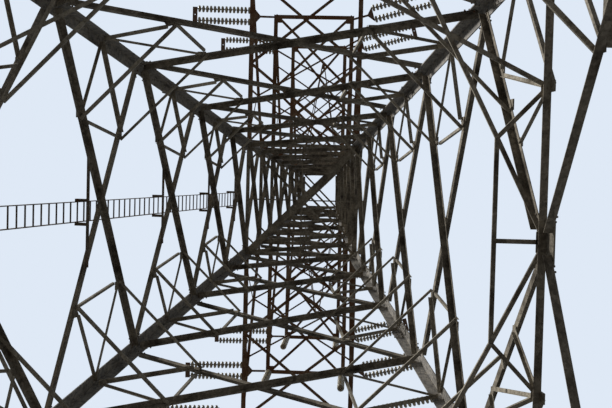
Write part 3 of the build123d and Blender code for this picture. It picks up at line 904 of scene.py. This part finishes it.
# %% Bolts of the crossarm tips
tip_bolt_insets = (0.03, 0.075, 0.12)
form = bmesh.new()
for (reach, height, stay_height), hand, end in itertools.product(arm_rows, (-1, 1), (-1, 1)):
    for inset_x, inset_y in itertools.product(tip_bolt_insets, tip_bolt_insets):
        seat = Vector((hand * (reach - inset_x), end * (body_half(height) - inset_y), height))
        add_bolt(form, seat, Vector((0, 0, -1)))
        add_bolt(form, seat + Vector((0, 0, chord_thick)), Vector((0, 0, 1)), nut_height)
keep(form, "arm_bolts", [fitting_steel])

# %% [markdown]
# ## Insulator strings
# A string is a chain of discs. Each disc is an iron cap, a glass shell that flares like a hat,
# and a pin that drops into the next cap. A turned shape is a profile spun about an axis, which
# here is two spins, one for the glass and one for the iron, repeated at every pitch of 73 mm.
# There are four hundred and fifty discs, so few steps are used for each spin, and smooth
# shading rounds them off. The glass profile is a closed loop and the iron one starts and ends
# on the axis, so neither leaves a hole.

# %% One disc
disc_pitch, disc_count = 0.073, 15
glass_profile = [(0.0225, 0.006), (0.050, 0.010), (0.066, 0.026), (0.066, 0.046),
                 (0.050, 0.055), (0.012, 0.058), (0.0225, 0.006)]
iron_profile = [(0.0, 0.0), (0.022, 0.003), (0.025, 0.020), (0.012, 0.040), (0.010, 0.046),
                (0.010, 0.073), (0.0, 0.073)]


def add_turned(form, profile, steps):
    """Spin a profile of radius and distance about the Z axis."""
    points = [form.verts.new((radius, 0, distance)) for radius, distance in profile]
    edges = [form.edges.new(pair) for pair in zip(points, points[1:])]
    bmesh.ops.spin(form, geom=points + edges, axis=(0, 0, 1), cent=(0, 0, 0), dvec=(0, 0, 0),
                   angle=2 * math.pi, steps=steps, use_merge=True)


def make_disc():
    """One disc of the string as a mesh, glass first and iron second."""
    form = bmesh.new()
    add_turned(form, glass_profile, 12)
    glass_faces = len(form.faces)
    add_turned(form, iron_profile, 8)
    form.faces.ensure_lookup_table()
    for face in form.faces[glass_faces:]:
        face.material_index = 1
    bmesh.ops.remove_doubles(form, verts=form.verts, dist=1e-5)
    bmesh.ops.recalc_face_normals(form, faces=form.faces)
    for face in form.faces:
        face.smooth = True
    mesh = bpy.data.meshes.new("disc")
    form.to_mesh(mesh)
    form.free()
    return mesh


disc = make_disc()
print("a disc has", len(disc.polygons), "faces")

# %% A string of discs


def add_string(form, start, along):
    """Fifteen discs in a row from a start point."""
    turn = along.to_track_quat("Z", "Y").to_matrix().to_4x4()
    for index in range(disc_count):
        count = len(form.verts)
        form.from_mesh(disc)
        form.verts.ensure_lookup_table()
        place = Matrix.Translation(start + along * disc_pitch * index) @ turn
        bmesh.ops.transform(form, matrix=place, verts=form.verts[count:])


print("a string is", round(disc_pitch * disc_count, 3), "m long")

# %% [markdown]
# ## Tension strings
# At the front and the back of every arm's tip a pair of strings reaches out almost level, held
# apart by a yoke plate. This is the kind of tower that stands at a bend, so the strings at the
# back leave at an angle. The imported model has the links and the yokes, and three coarse sheds
# to a string, which these discs stand in for.

# %% Tension strings
string_slope, line_angle = math.radians(6), math.radians(15)
link_length, yoke_depth, pair_spacing, string_seat = 0.23, 0.09, 0.22, 0.055
for end, end_name in ((-1, "front"), (1, "back")):
    form = bmesh.new()
    turn = line_angle if end > 0 else 0
    level = math.cos(string_slope)
    along = Vector((math.sin(turn) * level, end * math.cos(turn) * level,
                    -math.sin(string_slope)))
    across = Vector((0, 0, 1)).cross(along).normalized()
    for (reach, height, stay_height), hand in itertools.product(arm_rows, (-1, 1)):
        hanger = Vector((hand * (reach - chord_size / 2),
                         end * (body_half(height) + string_seat), height + chord_size / 2))
        for pair in (-0.5, 0.5):
            start = hanger + along * (link_length + yoke_depth) + across * pair * pair_spacing
            add_string(form, start, along)
    piece = keep(form, f"disc_strings_{end_name}", [glass, fitting_steel])
    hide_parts(f"tension_strings_{end_name}")

# %% [markdown]
# ## Pilot strings
# On the outer side of the bend, two single strings hang straight down from each arm's tip, one
# near the front and one near the back. They are the same fifteen discs, turned to point down.

# %% Pilot strings
pilot_inset, pilot_link = 0.06, 0.09
form = bmesh.new()
for (reach, height, stay_height), end in itertools.product(arm_rows, (-1, 1)):
    start = Vector((-reach + chord_size / 2, end * (body_half(height) - pilot_inset),
                    height - pilot_link))
    add_string(form, start, Vector((0, 0, -1)))
piece = keep(form, "disc_strings_pilot", [glass, fitting_steel])
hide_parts("pilot_strings")

# %% [markdown]
# ## Feet
# Each base plate stands on four anchor bolts. A round washer and a heavy hexagon nut sit on the
# plate over each hole, and the end of the threaded stud shows above the nut. All three are the
# cone tool again, with more or fewer sides.

# %% Anchor nuts
anchor_spacing, foot_thick = 0.26, 0.024
# Radius, lower end, upper end and number of sides
washer, nut, stud = (0.034, 0, 0.004, 16), (0.027, 0.004, 0.026, 6), (0.0145, 0, 0.044, 12)
middle = body_half(foot_thick) - leg_flange / 2
form = bmesh.new()
for x_sign, y_sign, x_step, y_step in itertools.product((-1, 1), (-1, 1), (-0.5, 0.5),
                                                        (-0.5, 0.5)):
    seat = Vector((x_sign * middle + x_step * anchor_spacing,
                   y_sign * middle + y_step * anchor_spacing, foot_thick))
    for radius, low, high, sides in (washer, nut, stud):
        place = Matrix.Translation(seat + Vector((0, 0, (low + high) / 2)))
        bmesh.ops.create_cone(form, cap_ends=True, segments=sides, radius1=radius,
                              radius2=radius, depth=high - low, matrix=place)
keep(form, "anchor_nuts", [bolt_steel])

# %% [markdown]
# ## Floor
# The tower stands on a plain pale floor, just under its base plates. The photograph looks up
# against the light, and the undersides in it are dark. So the floor is pale to camera, glossy
# and transmitted rays, and darker to the light that bounces off it. Light Path is the node
# that tells these rays apart.

# %% Floor
floor_radius, floor_drop = 40, 0.001


def direct_view(tree):
    """Mask that is 1 for camera, glossy and transmitted rays, and 0 for light that bounces."""
    path = add_node(tree, "ShaderNodeLightPath", {}, {})
    seen = add_node(tree, "ShaderNodeMath", {"operation": "MAXIMUM"},
                    {0: path.outputs["Is Camera Ray"], 1: path.outputs["Is Glossy Ray"]})
    return add_node(tree, "ShaderNodeMath", {"operation": "MAXIMUM"},
                    {0: seen.outputs["Value"], 1: path.outputs["Is Transmission Ray"]})


# Floor: matt painted board, which reads pale and even and keeps the tower's shadow
tree, shader = new_material("pale_floor")
floor_shade = add_node(tree, "ShaderNodeMix",
                       {"data_type": "RGBA", 6: colour("#5c5c5c"), 7: colour("#e2e2e0")},
                       {0: direct_view(tree).outputs["Value"]})
tree.links.new(floor_shade.outputs[2], shader.inputs["Base Color"])
shader.inputs["Roughness"].default_value = 0.9

form = bmesh.new()
bmesh.ops.create_circle(form, cap_ends=True, segments=64, radius=floor_radius,
                        matrix=Matrix.Translation((0, 0, -floor_drop)))
mesh = bpy.data.meshes.new("floor")
form.to_mesh(mesh)
form.free()
mesh.materials.append(bpy.data.materials["pale_floor"])
floor = bpy.data.objects.new("floor", mesh)
bpy.context.scene.collection.objects.link(floor)
print("floor:", floor_radius * 2, "m across")

# %% [markdown]
# ## Light and background
# A broad sun from the front right lights the inner faces of the far side, as in the photograph,
# and a dim even world fills the shade. Faces in the sun render about as their colour is written,
# and the shade is darker than a plain studio's. The background is pale because the world shows
# its full strength only to camera, glossy and transmitted rays.

# %% Sun and world
sun_direction = Vector((0.36, -0.76, 0.54))
shade_fill = 0.12

sun = bpy.data.lights.new("broad_sun", "SUN")
sun.energy = 3.9
sun.angle = math.radians(8)
lamp = bpy.data.objects.new("broad_sun", sun)
bpy.context.scene.collection.objects.link(lamp)
lamp.rotation_euler = sun_direction.to_track_quat("Z", "Y").to_euler()

world = bpy.data.worlds.new("studio")
bpy.context.scene.world = world
world.use_nodes = True
tree = world.node_tree
backdrop = tree.nodes["Background"]
backdrop.inputs["Color"].default_value = colour("#dfe9f6")
strength = add_node(tree, "ShaderNodeMapRange", {"To Min": shade_fill, "To Max": 1.0},
                    {"Value": direct_view(tree).outputs["Value"]})
tree.links.new(strength.outputs["Result"], backdrop.inputs["Strength"])
bpy.context.scene.view_settings.view_transform = "Standard"
print("sun:", sun.energy, "fill:", shade_fill)
